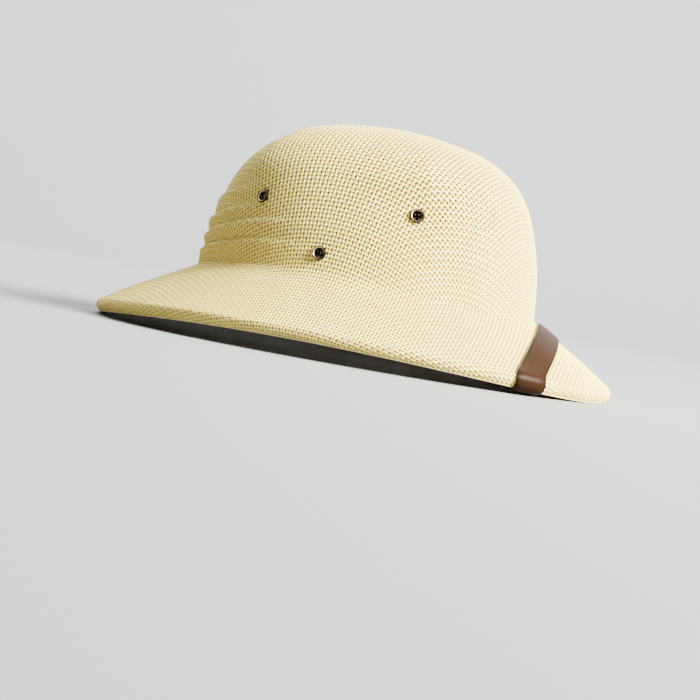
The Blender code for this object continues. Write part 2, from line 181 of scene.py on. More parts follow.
def pleat_offset(height, angle):
    """How far the pleats stand out of the plain crown."""
    height, angle = np.broadcast_arrays(height, angle)
    from_back = np.pi - from_front(angle)
    ledge = PLEAT_LEDGE / (HAT_HEIGHT - FOOT_HEIGHT_ENDS)
    offset = np.zeros(height.shape)
    foot = np.zeros(height.shape)
    foot_offset = np.zeros(height.shape)
    for crest_back, crest_side, depth, fades_at in PLEATS:
        fading = (fades_at - from_back) / (fades_at * (1 - PLEAT_FADE_START))
        depth = PLEAT_DEPTH * depth * smooth_step(fading)
        crest = between(crest_back, crest_side, angle)
        for stop, stop_offset in ((crest, depth), (crest + ledge, -PLEAT_VALLEY * depth)):
            share = np.clip((height - foot) / (stop - foot), 0, 1)
            inside = (height >= foot) & (height < stop)
            offset = np.where(inside, foot_offset + (stop_offset - foot_offset) * share, offset)
            foot, foot_offset = stop, stop_offset
    share = np.clip((height - foot) / PLEATS_RUN_OUT, 0, 1)
    return np.where(height >= foot, foot_offset * (1 - share), offset)


def ridge_offset(height, angle):
    """How far the corner ridges stand out of the plain crown."""
    turned_by = from_front(angle)
    offset = 0
    for ridge_height, crest, forwards, backwards in RIDGES:
        away = np.maximum((crest - turned_by) / forwards, (turned_by - crest) / backwards)
        offset = offset + ridge_height * np.clip(1 - away, 0, 1) ** RIDGE_SHARPNESS
    rise = smooth_step((height - RIDGE_FOOT) / (RIDGE_FULL - RIDGE_FOOT))
    fall = smooth_step((RIDGE_TOP - height) / (RIDGE_TOP - RIDGE_FULL))
    return offset * rise * np.sqrt(fall)


def crown_at(row, angle):
    """Points on the crown's outside. Rows count in the crown's table, from the top."""
    height, front, back, side, squareness = curve_at(CROWN_ROWS, row)
    backwards = smooth_step(0.5 - PROFILE_BLEND * np.cos(angle))
    length = front + (back - front) * backwards
    out = 1 + (pleat_offset(height, angle) + ridge_offset(height, angle)) / (CROWN_WIDTH / 2)
    foot = between(FOOT_HEIGHT_ENDS, FOOT_HEIGHT_SIDES, angle)
    x = CROWN_WIDTH / 2 * side * signed_power(np.sin(angle), squareness) * out
    y = -CROWN_LENGTH / 2 * length * signed_power(np.cos(angle), squareness) * out
    return points(x, y + MIDDLE_Y, foot + (HAT_HEIGHT - foot) * height)


def end_reach(angle):
    return np.where(np.cos(angle) > 0, BILL_REACH, BACK_REACH)


def roll_slope(angle):
    return between(BRIM_SLOPE_ENDS, BRIM_SLOPE_SIDES, angle)


def roll_out(slope):
    return RIM_ROLL_RADIUS * (1 - math.sin(slope))


def rim_rise(angle):
    level = math.sin(RIM_FLAT_ANGLE) ** 2
    return RIM_ARCH * np.maximum(np.sin(angle) ** 2 - level, 0) / (1 - level)


def brim_at(row, angle):
    """Points on the brim's outside. Rows count in the brim's table, from the crown's foot."""
    out, drop_ends, drop_sides = curve_at(BRIM_ROWS, row)
    half_width = CROWN_WIDTH / 2 + (SIDE_REACH - roll_out(BRIM_SLOPE_SIDES)) * out
    half_length = CROWN_LENGTH / 2 + (end_reach(angle) - roll_out(BRIM_SLOPE_ENDS)) * out
    x = half_width * signed_power(np.sin(angle), PLAN_SQUARENESS)
    y = -half_length * signed_power(np.cos(angle), PLAN_SQUARENESS)
    top = between(FOOT_HEIGHT_ENDS, FOOT_HEIGHT_SIDES, angle)
    bottom = RIM_ROLL_RADIUS * (1 + np.cos(roll_slope(angle))) + rim_rise(angle)
    return points(x, y + MIDDLE_Y, top + (bottom - top) * between(drop_ends, drop_sides, angle))


def outward(angle):
    """The level direction square to the rim's plan."""
    across = np.sin(angle) / (CROWN_WIDTH / 2 + SIDE_REACH)
    along = -np.cos(angle) / (CROWN_LENGTH / 2 + end_reach(angle))
    return unit(points(across, along, 0 * angle))


def roll_at(turn, angle):
    """Points round the rolled rim: turn is 0 where the brim ends and 1 at its underside."""
    slope = roll_slope(angle)
    now = slope + (np.pi - slope) * turn
    start = brim_at(np.full(np.shape(now), len(BRIM_ROWS) - 1.0), angle)
    out = RIM_ROLL_RADIUS * (np.sin(now) - np.sin(slope))
    up = RIM_ROLL_RADIUS * (np.cos(now) - np.cos(slope))
    return start + outward(angle) * out[..., None] + points(0 * up, 0 * up, up)


print("top of the crown, mm:", crown_at(0.0, 0.0) / MM, " foot at the back:", crown_at(13.0, np.pi) / MM)

# %% [markdown]
# **A flat map of the form.** Straw cloth starts flat. To lay it on the form, each place on the hat needs
# a flat address. Here it is a compass bearing from the middle of the crown and the distance walked from
# there over the surface, down the crown, out over the brim and round the rolled rim. A table of points
# for 1440 bearings, one every half millimetre, turns an address into a place quickly.

# %% The map
BEARINGS = 1440
STEP = 0.5 * MM
MAP_SQUARENESS = 2.3             # the bearings spread at the corners as the crown's own form does
CROWN_STOPS, BRIM_STOPS, ROLL_STOPS, HEM_STOPS, SKIRT_STOPS = 326, 121, 17, 5, 41
bearing = np.arange(BEARINGS) * 2 * np.pi / BEARINGS
ray_angle = np.arctan2(signed_power(np.sin(bearing), 4 / MAP_SQUARENESS),
                       signed_power(np.cos(bearing), 4 / MAP_SQUARENESS))


def walk(*stretches):
    """Resample rays of points, stretch after stretch, at even steps of the distance walked."""
    rays = np.concatenate(stretches)
    walked = np.zeros(rays.shape[:2])
    walked[1:] = np.cumsum(np.linalg.norm(np.diff(rays, axis=0), axis=-1), axis=0)
    stops = np.arange(0, walked[-1].max() + STEP, STEP)
    table = np.empty((len(stops), BEARINGS, 3))
    for column in range(BEARINGS):
        for axis in range(3):
            table[:, column, axis] = np.interp(stops, walked[:, column], rays[:, column, axis])
    return table, walked


crown_rays = crown_at(np.linspace(0, len(CROWN_ROWS) - 1, CROWN_STOPS)[:, None], ray_angle[None, :])
brim_rays = brim_at(np.linspace(0, len(BRIM_ROWS) - 1, BRIM_STOPS)[1:, None], ray_angle[None, :])
roll_rays = roll_at(np.linspace(0, 1, ROLL_STOPS)[1:, None], ray_angle[None, :])
hem_share = np.linspace(0, 1, HEM_STOPS)[1:, None, None]
hem_rays = roll_rays[-1] - outward(ray_angle) * HEM_WIDTH * hem_share
hat_map, hat_walked = walk(crown_rays, brim_rays, roll_rays, hem_rays)
hem_distance = hat_walked[-1]
print("walked from the middle to the hem, mm:",
      {name: round(float(hem_distance[int(share * BEARINGS)]) / MM, 1)
       for name, share in (("front", 0), ("side", 0.25), ("back", 0.5))})


def lookup(table, place):
    """Values of a table over distance and bearing, at flat places (to the left, to the back)."""
    left, back = place[..., 0], place[..., 1]
    distance = np.hypot(left, back) / STEP
    turn = np.arctan2(left, -back) * BEARINGS / (2 * np.pi) % BEARINGS
    near = np.clip(distance.astype(int), 0, len(table) - 2)
    column = turn.astype(int) % BEARINGS
    far = np.clip(distance - near, 0, 1)[..., None]
    over = (turn - np.floor(turn))[..., None]
    following = (column + 1) % BEARINGS
    inner = table[near, column] * (1 - over) + table[near, following] * over
    outer = table[near + 1, column] * (1 - over) + table[near + 1, following] * over
    return inner * (1 - far) + outer * far


def past_hem(place):
    """How far flat places lie beyond the hem: on the hat, it is below 0."""
    hem = lookup(hem_distance[None, :, None].repeat(2, 0), place)[..., 0]
    return np.hypot(place[..., 0], place[..., 1]) - hem


def slopes_at(table, place, reach=1 * MM):
    """How the surface runs to the left and to the back of flat places."""
    to_left = lookup(table, place + (reach, 0)) - lookup(table, place - (reach, 0))
    to_back = lookup(table, place + (0, reach)) - lookup(table, place - (0, reach))
    return to_left / (2 * reach), to_back / (2 * reach)


def normals_at(table, place):
    to_left, to_back = slopes_at(table, place)
    return unit(np.cross(to_left, to_back))

# %% [markdown]
# **The weave.** The cloth is a plain weave of paper straw: yarns that run across the hat, over and under
# yarns that run from front to back. A bump texture could show that from afar, but the real weave is open:
# light and dark show through its holes, it opens and closes as the cloth is pulled over the block, and
# its yarns lean where it shears. So the yarns are real here. First the net of their crossings is laid on
# the form and relaxed like a net of springs: each spring pulls its two crossings to the right distance,
# weaker springs across the corners resist shear, and every crossing keeps near the middle of its
# neighbours, so that the holes change size gradually. The net starts coarse and is refined, because a
# coarse net settles quickly.

# %% Net of the crossings
YARN_PITCH_LEFT = 2.30 * MM      # between neighbouring yarns that run from front to back
YARN_PITCH_BACK = 2.58 * MM      # between neighbouring yarns that run across
COARSE = 8                       # the first net has every eighth crossing
HALF_LEFT = 14                   # steps of the first net from its middle to each side
HALF_BACK = 14                   # and to each end
SHEAR_STRENGTH = 0.35            # of a corner spring; a spring along a yarn has 1
EVENNESS = 0.50                  # how strongly a crossing keeps to the middle of its neighbours
OVERSHOOT = 1.6                  # crossings move a little past their mark, which settles them sooner
FIRST_ROUNDS, FINER_ROUNDS, LAST_ROUNDS = 500, 120, 60
SKIRT = 120 * MM                 # the net lies on a skirt beyond the brim while it settles

skirt_way = unit(brim_rays[-1] - brim_rays[-2])
skirt_rays = brim_rays[-1] + skirt_way * SKIRT * np.linspace(0, 1, SKIRT_STOPS)[1:, None, None]
skirt_map, _ = walk(crown_rays, brim_rays, skirt_rays)


def relax(net, pitch_left, pitch_back, rounds):
    """Let the net's springs settle on the form. The pitches may vary over the net."""
    diagonal = np.hypot(np.mean(pitch_left), np.mean(pitch_back))
    for _ in range(rounds):
        place = lookup(skirt_map, net)
        push = np.zeros_like(place)
        count = np.zeros(place.shape[:2] + (1,))
        links = (
            (np.s_[1:, :], np.s_[:-1, :], pitch_left, 1.0),
            (np.s_[:, 1:], np.s_[:, :-1], pitch_back, 1.0),
            (np.s_[1:, 1:], np.s_[:-1, :-1], diagonal, SHEAR_STRENGTH),
            (np.s_[1:, :-1], np.s_[:-1, 1:], diagonal, SHEAR_STRENGTH),
        )
        for first, second, rest, strength in links:
            gap = place[second] - place[first]
            length = np.linalg.norm(gap, axis=-1, keepdims=True)
            move = gap * (1 - np.asarray(rest)[..., None] / np.maximum(length, 1e-9)) * (strength / 2)
            push[first] += move
            push[second] -= move
            count[first] += strength
            count[second] += strength
        for inner, before, after in ((np.s_[1:-1], np.s_[:-2], np.s_[2:]),
                                     (np.s_[:, 1:-1], np.s_[:, :-2], np.s_[:, 2:])):
            push[inner] += EVENNESS * ((place[before] + place[after]) / 2 - place[inner])
            count[inner] += EVENNESS
        push *= OVERSHOOT / count
        # The flat move that comes nearest to this push, from the products of the form's two slopes
        to_left, to_back = slopes_at(skirt_map, net)
        ll = (to_left * to_left).sum(-1)
        lb = (to_left * to_back).sum(-1)
        bb = (to_back * to_back).sum(-1)
        pl = (push * to_left).sum(-1)
        pb = (push * to_back).sum(-1)
        across = np.maximum(ll * bb - lb * lb, 1e-3)
        net = net + np.stack(((pl * bb - pb * lb) / across, (pb * ll - pl * lb) / across), -1)
    return net


def finer(net):
    """Twice as many crossings each way, the new ones halfway between."""
    rows = np.empty((2 * len(net) - 1, net.shape[1], 2))
    rows[::2] = net
    rows[1::2] = (net[1:] + net[:-1]) / 2
    both = np.empty((len(rows), 2 * net.shape[1] - 1, 2))
    both[:, ::2] = rows
    both[:, 1::2] = (rows[:, 1:] + rows[:, :-1]) / 2
    return both


rng = np.random.default_rng(7)


def drift(shape, size):
    """Smooth noise between about -1 and 1 over a grid, with features of a size in cells."""
    knots = rng.uniform(-1, 1, (int(shape[0] / size) + 4, int(shape[1] / size) + 4))
    rows = np.arange(shape[0]) / size + 1
    columns = np.arange(shape[1]) / size + 1
    over = curve_at(knots, rows)                  # columns of knots x rows of cells
    return curve_at(over, columns)                # rows of cells x columns of cells


net = np.stack(np.meshgrid(np.arange(-HALF_LEFT, HALF_LEFT + 1) * COARSE * YARN_PITCH_LEFT,
                           np.arange(-HALF_BACK, HALF_BACK + 1) * COARSE * YARN_PITCH_BACK,
                           indexing="ij"), -1)
scale = COARSE
net = relax(net, scale * YARN_PITCH_LEFT, scale * YARN_PITCH_BACK, FIRST_ROUNDS)
while scale > 2:
    scale //= 2
    net = relax(finer(net), scale * YARN_PITCH_LEFT, scale * YARN_PITCH_BACK, FINER_ROUNDS)
net = finer(net)
shape = net.shape[:2]
PITCH_DRIFT = 0.08               # how much the pitch wanders, as a share of it
DRIFT_CELLS = 14                 # over about this many crossings
PITCH_JUMP = 0.03                # how much it differs from one yarn to the next
uneven_left = 1 + PITCH_DRIFT * drift(shape, DRIFT_CELLS)[1:]
uneven_left = uneven_left + PITCH_JUMP * rng.uniform(-1, 1, (shape[0] - 1, 1))
uneven_back = 1 + PITCH_DRIFT * drift(shape, DRIFT_CELLS)[:, 1:]
uneven_back = uneven_back + PITCH_JUMP * rng.uniform(-1, 1, (1, shape[1] - 1))
net = relax(net, YARN_PITCH_LEFT * uneven_left, YARN_PITCH_BACK * uneven_back, LAST_ROUNDS)

crossings = lookup(skirt_map, net)
side_step = crossings[1:, :-1] - crossings[:-1, :-1]
back_step = crossings[:-1, 1:] - crossings[:-1, :-1]
on_hat = (past_hem(net) < 0)[:-1, :-1]
corner = np.degrees(np.arccos((unit(side_step) * unit(back_step)).sum(-1)))[on_hat]
print("crossings on the hat:", int(on_hat.sum()))
print("pitch to the left, mm:", np.percentile(np.linalg.norm(side_step, axis=-1)[on_hat] / MM, (1, 50, 99)))
print("pitch to the back, mm:", np.percentile(np.linalg.norm(back_step, axis=-1)[on_hat] / MM, (1, 50, 99)))
print("angle between the yarns:", np.percentile(corner, (1, 10, 50, 90, 99)))

# %% [markdown]
# **Yarns.** Each yarn passes over and under the yarns it crosses. It is made as a slim tube of four sides,
# shaded smooth so that it looks round, with a ring of points at every crossing and one between. A curve
# object with a bevel would do for a few yarns, but for four hundred it is slower, and its width could not
# follow the cloth: where the cloth shears, the yarns come closer together and have to be narrower.
# Between real yarns the light is soon lost in fine fibres. Here that shade is painted: each point carries a
# painted-shade value, and the finish paints the straw nearly black beside the holes and on each yarn's
# underside, so that the holes read as the small dark dots of real cloth.

# %% The yarns' sizes
# Crimp is how far a yarn rises over one crossing and sinks under the next: the broad yarns that run
# across stay nearly straight, and the slim ones that run from front to back wind between them
ACROSS = {"width": 2.50 * MM, "thickness": 0.90 * MM, "crimp": 0.22 * MM}
FRONT_TO_BACK = {"width": 2.05 * MM, "thickness": 0.75 * MM, "crimp": 0.55 * MM}
CLOSEST = 0.95                   # share of the room between its neighbours that a yarn may fill
CLOTH_MIDDLE = 1.0 * MM          # the cloth's middle lies this far inside the form's outer face
VENT_CUT = 3.5 * MM              # yarns are cut this far from a vent's axis
WIDTH_BY_YARN = 0.09             # how much the yarns differ in width, as a share of it
SLUB = 0.10                      # how much a yarn swells and thins on its way
SLUB_CELLS = 9                   # over about this many crossings
FEWEST_RINGS = 4                 # in a piece of yarn between two cuts
FEWEST_ON_HAT = 6                # a yarn with no more rings than this on the hat is left out
YARN_LONGEST = 0.56              # metres: the length of yarn that fills the flat layout's width
# Painted shade at a ring's edge, top, other edge and underside, which faces into the hat: 1 paints the
# darkest shade
RING_PAINTED_SHADE = (0.12, 0.0, 0.12, 1.0)
HOLE_RING_PAINTED_SHADE = (0.9, 0.0, 0.9, 1.0)    # halfway between two crossings, where its edges line holes

EYELETS = [
    # name, angle, height
    ("front", math.radians(64), 0.452),
    ("back", math.radians(116), 0.420),
    ("lower", math.radians(91), 0.112),
]


def crown_row(height):
    """The crown table's row at a height share."""
    rows = np.linspace(0, len(CROWN_ROWS) - 1, 1301)
    heights = curve_at(CROWN_ROWS, rows)[0]
    return np.interp(-height, -heights, rows)


def crown_place(height, angle, row_step=0.02, turn_step=0.002):
    """A point on the crown's outside and the outward direction there."""
    row = crown_row(height)
    down = crown_at(row + row_step, angle) - crown_at(row - row_step, angle)
    round_ = crown_at(row, angle + turn_step) - crown_at(row, angle - turn_step)
    return crown_at(row, angle), unit(np.cross(down, round_))


vents = {}
for side_name, side in (("left", 1), ("right", -1)):
    for name, angle, height in EYELETS:
        vents[f"{name}_{side_name}"] = crown_place(height, side * angle)
vent_places = np.array([here for here, _ in vents.values()])


def halves(net, axis):
    """Places at every crossing and halfway between, along one way of the net."""
    shape = list(net.shape)
    shape[axis] = 2 * shape[axis] - 1
    fine = np.empty(shape)
    index = [slice(None)] * net.ndim
    index[axis] = slice(0, None, 2)
    fine[tuple(index)] = net
    ahead = np.take(net, range(1, net.shape[axis]), axis)
    behind = np.take(net, range(net.shape[axis] - 1), axis)
    index[axis] = slice(1, None, 2)
    fine[tuple(index)] = (ahead + behind) / 2
    return fine


def mesh_from(name, spots, quads):
    """A smooth mesh of quads from arrays."""
    mesh = bpy.data.meshes.new(name)
    mesh.vertices.add(len(spots))
    mesh.vertices.foreach_set("co", np.asarray(spots, np.float32).ravel())
    mesh.loops.add(quads.size)
    mesh.loops.foreach_set("vertex_index", quads.astype(np.int32).ravel())
    mesh.polygons.add(len(quads))
    mesh.polygons.foreach_set("loop_start", np.arange(0, quads.size, 4, dtype=np.int32))
    mesh.update(calc_edges=True)
    mesh.validate()
    mesh.shade_smooth()
    return mesh


def give_values(mesh, key, values):
    """A number for each point of a mesh, for its finish to read."""
    data = mesh.attributes.new(key, "FLOAT", "POINT").data
    data.foreach_set("value", np.asarray(values, np.float32).ravel())


def show(name, mesh):
    piece = bpy.data.objects.new(name, mesh)
    bpy.context.scene.collection.objects.link(piece)
    return piece


def yarn_family(net, crossed_over, yarn, seed):
    """What every yarn along the net's first way needs: rings of points, ready to be cut to length."""
    draw = np.random.default_rng(seed)
    crossings = lookup(hat_map, net)
    along = np.gradient(crossings, axis=0)
    beside = np.gradient(crossings, axis=1)
    room = np.linalg.norm(np.cross(unit(along), beside), axis=-1)
    own = 1 + WIDTH_BY_YARN * draw.uniform(-1, 1, (1, net.shape[1]))
    slubs = 1 + SLUB * drift(net.shape[:2], SLUB_CELLS) * draw.uniform(0.3, 1, (1, net.shape[1]))
    width = np.minimum(yarn["width"] * own * slubs, room * CLOSEST)
    side = np.where(crossed_over, 1.0, -1.0)
    fine = halves(net, 0)
    place = lookup(hat_map, fine)
    normal = normals_at(hat_map, fine)
    crimp = halves((side * yarn["crimp"])[..., None], 0)
    middle = place + normal * (crimp - CLOTH_MIDDLE)
    near_vent = np.linalg.norm(place[..., None, :] - vent_places, axis=-1).min(-1)
    outside = np.maximum(past_hem(fine), VENT_CUT - near_vent)
    return {"middle": middle, "normal": normal, "width": halves(width[..., None], 0)[..., 0],
            "outside": outside, "tone": draw.uniform(0, 1, net.shape[1]), "thickness": yarn["thickness"]}


def runs_of(outside):
    """The stretches of a yarn that stay, each as ring positions with fractions at its cut ends."""
    stays = outside < 0
    edges = np.flatnonzero(np.diff(stays.astype(int)))
    starts = [0] if stays[0] else []
    stops = []
    for edge in edges:
        cut = edge + outside[edge] / (outside[edge] - outside[edge + 1])
        (stops if stays[edge] else starts).append(cut)
    if stays[-1]:
        stops.append(len(stays) - 1)
    for start, stop in zip(starts, stops):
        rings = [start, *range(int(start) + 1, int(math.ceil(stop))), stop]
        if len(rings) >= FEWEST_RINGS:
            yield np.array(rings, float)


def at_rings(values, rings):
    lower = np.minimum(rings.astype(int), len(values) - 2)
    share = (rings - lower).reshape((-1,) + (1,) * (values.ndim - 1))
    return values[lower] * (1 - share) + values[lower + 1] * share


def yarn_tubes(family, yarns, name):
    """One mesh with the tubes of the given yarns, laid out flat in lanes, one yarn in each."""
    spots, quads, tones, painted_shades, lay = [], [], [], [], []
    base = 0
    lanes = [(yarn, rings) for yarn in yarns for rings in runs_of(family["outside"][:, yarn])]
    for lane, (yarn, rings) in enumerate(lanes):
        middle = at_rings(family["middle"][:, yarn], rings)
        normal = unit(at_rings(family["normal"][:, yarn], rings))
        width = at_rings(family["width"][:, yarn], rings)[:, None]
        forward = unit(np.gradient(middle, axis=0))
        across = unit(np.cross(normal, forward))
        up = np.cross(forward, across)
        rise = up * family["thickness"] / 2
        reach = across * width / 2
        ring = np.stack((middle - reach, middle + rise, middle + reach, middle - rise), 1)
        count = len(rings)
        spots.append(ring.reshape(-1, 3))
        step = base + 4 * np.arange(count - 1)[:, None]
        corner = np.arange(4)[None, :]
        following = (corner + 1) % 4
        tube = np.stack((step + corner, step + 4 + corner, step + 4 + following, step + following), -1)
        ends = [[base + 3, base + 2, base + 1, base], [base + 4 * count - 4 + side for side in range(4)]]
        quads.append(np.concatenate((tube.reshape(-1, 4), ends)))
        tones.append(np.full(4 * count, family["tone"][yarn]))
        at_hole = np.abs(np.remainder(rings, 2) - 1) < 0.5    # rings at odd places, between crossings
        # Painted shade for the ring's four points: the underside darkest, and between crossings also the
        # edges that line holes
        painted_shades.append(np.where(at_hole[:, None], HOLE_RING_PAINTED_SHADE, RING_PAINTED_SHADE).ravel())
        walked = np.concatenate(([0], np.cumsum(np.linalg.norm(np.diff(middle, axis=0), axis=1))))
        low = walked[:-1, None]
        high = walked[1:, None]
        strip = np.stack((points(low, corner), points(high, corner),
                          points(high, corner + 1), points(low, corner + 1)), 2)
        cap = np.zeros((2, 4, 2))
        cap[1, :, 0] = walked[-1]
        strip = np.concatenate((strip.reshape(-1, 4, 2), cap))
        strip[..., 1] = (lane + (strip[..., 1] + 0.5) / 5) / len(lanes)
        lay.append(strip.reshape(-1, 2))
        base += 4 * count
    spots, quads, lay = np.concatenate(spots), np.concatenate(quads), np.concatenate(lay)
    lay[:, 0] /= YARN_LONGEST
    mesh = mesh_from(name, spots, quads)
    mesh.uv_layers.new(name="OFBake").data.foreach_set("uv", lay.astype(np.float32).ravel())
    give_values(mesh, "yarn_tone", np.concatenate(tones))
    # The painted shade goes to the finish with the mesh
    give_values(mesh, "yarn_painted_shade", np.concatenate(painted_shades))
    return mesh

# %% Weave both families
column = np.arange(net.shape[0])[:, None] + np.arange(net.shape[1])[None, :]
across_family = yarn_family(net, column % 2 == 0, ACROSS, 11)
along_family = yarn_family(net.swapaxes(0, 1), (column % 2 == 1).T, FRONT_TO_BACK, 12)
PARTS = 3
cloth = []
for family_name, family in (("across", across_family), ("front_to_back", along_family)):
    used = np.flatnonzero((family["outside"] < 0).sum(0) > FEWEST_ON_HAT)
    weight = np.cumsum((family["outside"][:, used] < 0).sum(0))
    share = np.searchsorted(weight, weight[-1] * np.arange(1, PARTS) / PARTS)
    for number, yarns in enumerate(np.split(used, share), 1):
        name = f"straw_{family_name}_{number}"
        piece = show(name, yarn_tubes(family, yarns, name))
        cloth.append(piece)
        print(name, "yarns:", len(yarns), "triangles:", 2 * len(piece.data.polygons))

# %% [markdown]
# **The hem.** Round the rim's underside, a flat strip of paper straw covers the yarns' cut ends, from the
# bottom of the roll to the inner edge. It is a narrow loft that follows the rim.

# %% Hem strip
HEM_STRIP = 0.35 * MM            # its thickness
HEM_PROUD = 0.02 * MM            # it stands out of the form, so that no yarn shows through it
HEM_ON_ROLL = (0.80, 0.90, 1.0)  # turns of the roll that it covers
HEM_STATIONS = 480


def closed_loft(name, rings, looped=False):
    """A mesh through closed rings of points, as arrays; the loft's ends are capped unless it is looped."""
    count, around = rings.shape[:2]
    row = np.arange(count if looped else count - 1)[:, None]
    first = row * around
    second = (row + 1) % count * around
    here = np.arange(around)[None, :]
    after = (here + 1) % around
    quads = np.stack((first + here, second + here, second + after, first + after), -1)
    mesh = bpy.data.meshes.new(name)
    faces = quads.reshape(-1, 4).tolist()
    if not looped:
        faces += [list(range(around))[::-1], [(count - 1) * around + point for point in range(around)]]
    mesh.from_pydata(rings.reshape(-1, 3).tolist(), [], faces)
    mesh.validate()
    mesh.shade_smooth()
    return mesh


def hem_strip_rings():
    angle = np.linspace(0, 2 * np.pi, HEM_STATIONS, endpoint=False)
    out = outward(angle)
    bottom = roll_at(np.ones_like(angle), angle)
    up = np.array([0, 0, 1.0])
    section = []
    for turn in HEM_ON_ROLL:
        lean = math.pi * turn
        away = out * math.sin(lean) + up * math.cos(lean)
        section.append((roll_at(np.full_like(angle, turn), angle), away))
    for inward in (0.5, 1.0):
        section.append((bottom - out * HEM_WIDTH * inward, -up + 0 * out))
    section.append((bottom - out * (HEM_WIDTH + STRAW_WALL * 0.45) + up * STRAW_WALL * 0.5, -out))
    section.append((bottom - out * HEM_WIDTH * 0.9 + up * STRAW_WALL, up + 0 * out))
    outer = [spot + away * HEM_PROUD for spot, away in section]
    inner = [spot - away * HEM_STRIP for spot, away in section]
    return np.stack(outer + inner[::-1], 1)


hem = show("straw_hem", closed_loft("straw_hem", hem_strip_rings(), looped=True))
print("hem strip, triangles:", 2 * len(hem.data.polygons))

# %% [markdown]
# **Vent eyelets.** An eyelet is pressed from thin brass tube: its outside flange is domed, its barrel goes
# through the straw, and its end is curled over inside. So it is one profile, turned about its axis. The
# lower one on each side is longer, because it goes through the chin strap's end too.

# %% Eyelets
EYELET_FLANGE = 8.8 * MM
EYELET_BORE = 6 * MM
EYELET_METAL = 0.45 * MM
EYELET_DOME = 1.15 * MM          # how far the dome stands above the straw
EYELET_CREST = 0.42 * MM         # from the flange's edge in to the dome's crest
EYELET_CURL = 0.6 * MM           # how far the curled end rolls over
EYELET_EASE = 0.1 * MM           # the curl and the underside keep this far inside the flange
EYELET_SHARP = math.radians(50)  # bends over this angle stay sharp to the eye
STRAP_THICKNESS = 1.6 * MM
GAP = 0.3 * MM
TURNS = 56


def arc(middle, size, start, stop, steps):
    """Points on an ellipse's arc in the profile's plane, angles in degrees."""
    turn = np.radians(np.linspace(start, stop, steps))
    return [(middle[0] + size[0] * math.cos(a), middle[1] + size[1] * math.sin(a)) for a in turn]


def eyelet_profile(grip):
    bore, flange = EYELET_BORE / 2, EYELET_FLANGE / 2
    middle = (bore + flange) / 2
    half = (flange - bore) / 2
    crest = flange - EYELET_CREST
    dome = arc((crest, GAP), (flange - crest, EYELET_DOME - GAP), 0, 90, 6)
    dome += arc((crest, -EYELET_EASE), (crest - bore, EYELET_DOME + EYELET_EASE), 90, 180, 9)[1:]
    curl = arc((middle - EYELET_EASE, -grip - GAP), (half - EYELET_EASE, EYELET_CURL), 180, 360, 9)
    outer = bore + EYELET_METAL
    return dome + curl + [(outer, -grip - GAP), (outer, GAP / 2), (flange - EYELET_EASE, GAP / 2)]


def turned(name, profile):
    rings = np.array([[(r * math.cos(a), r * math.sin(a), z) for r, z in profile]
                      for a in np.linspace(0, 2 * np.pi, TURNS, endpoint=False)])
    return closed_loft(name, rings, looped=True)


def stood_at(vent):
    """The placing of a turned piece on a vent's axis, its Z out of the hat."""
    here, normal = vents[vent]
    turn = Vector(normal).to_track_quat("Z", "Y").to_matrix().to_4x4()
    return Matrix.Translation(Vector(here)) @ turn


eyelets = []
for name in vents:
    grip = STRAW_WALL + (3 * GAP + STRAP_THICKNESS if name.startswith("lower") else 0)
    eyelet = show(f"eyelet_{name}", turned(f"eyelet_{name}", eyelet_profile(grip)))
    eyelet.matrix_world = stood_at(name)
    eyelet.data.set_sharp_from_angle(angle=EYELET_SHARP)
    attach(eyelet, "root")
    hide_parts(f"vent_eyelet_{name}")
    eyelets.append(eyelet)
print("eyelets:", len(eyelets), "triangles each:", 2 * len(eyelets[0].data.polygons))

# %% [markdown]
# **The chin strap.** A leather strap lies askew over the bill, bends round the rolled rim on both sides and
# runs back under the brim to the crown's inner wall. Its middle sheet is found first, as a grid of points:
# over the bill and the roll it follows the form, under the brim it hangs a little slack. The grid is then
# spaced evenly, smoothed like leather that doesn't take a sharp bend, and given a section with soft edges.

# %% The strap's middle sheet
STRAP_WIDTH = 17.9 * MM
STRAP_FRONT = 11.6 * MM          # its middle line in front of the crown's foot, at the hat's middle
STRAP_SKEW = math.radians(13.5)
STRAP_BEND = 420 * MM            # radius by which its right half curves back
STRAP_END = 14 * MM              # half the length that lies on the crown's inner wall
STRAP_SLACK = 8 * MM             # how far it hangs out of line under the brim
STRAP_LIFT = 1.15 * MM           # its middle sheet over the straw
STRAP_SPACING = 2 * MM
BILL_ROWS, ROLL_ROWS, HANGING_ROWS = 40, 9, 14
SHARE_OVER_BILL = 0.97           # of the way to the roll; the smoothing closes the rest
SMOOTHING_ROUNDS = 4
STRAP_SEAT = [
    # reach, width: from the lower eyelet to the bill in STRAP_END, and a share of STRAP_WIDTH
    (1.0, 1.0),
    (0.5, 1.0),
    (0.0, 1.0),
    (-0.45, 1.0),
    (-0.8, 0.6),
]
sides = np.linspace(-1, 1, 9)    # across the strap, from one edge to the other


def strap_y(x, side):
    """Plan position of the strap at this x, from its rear edge (side -1) to its front edge (1)."""
    across = side * STRAP_WIDTH / 2 * math.cos(math.atan2(FOOT_HEIGHT_ENDS, BILL_REACH))
    middle = CROWN_LENGTH / 2 + STRAP_FRONT - MIDDLE_Y
    return math.tan(STRAP_SKEW) * x + np.minimum(x, 0) ** 2 / (2 * STRAP_BEND) - middle - across


def front_brim_size(row):
    out = curve_at(BRIM_ROWS, row)[0]
    half_width = CROWN_WIDTH / 2 + (SIDE_REACH - roll_out(BRIM_SLOPE_SIDES)) * out
    return half_width, CROWN_LENGTH / 2 + (BILL_REACH - roll_out(BRIM_SLOPE_ENDS)) * out


def within(row, x, y):
    """Above 0 where a plan position is nearer the crown than this row of the front brim."""
    half_width, half_length = front_brim_size(row)
    across = (np.abs(x) / half_width) ** PLAN_SQUARENESS
    along = (np.abs(y - MIDDLE_Y) / half_length) ** PLAN_SQUARENESS
    return 1 - across - along


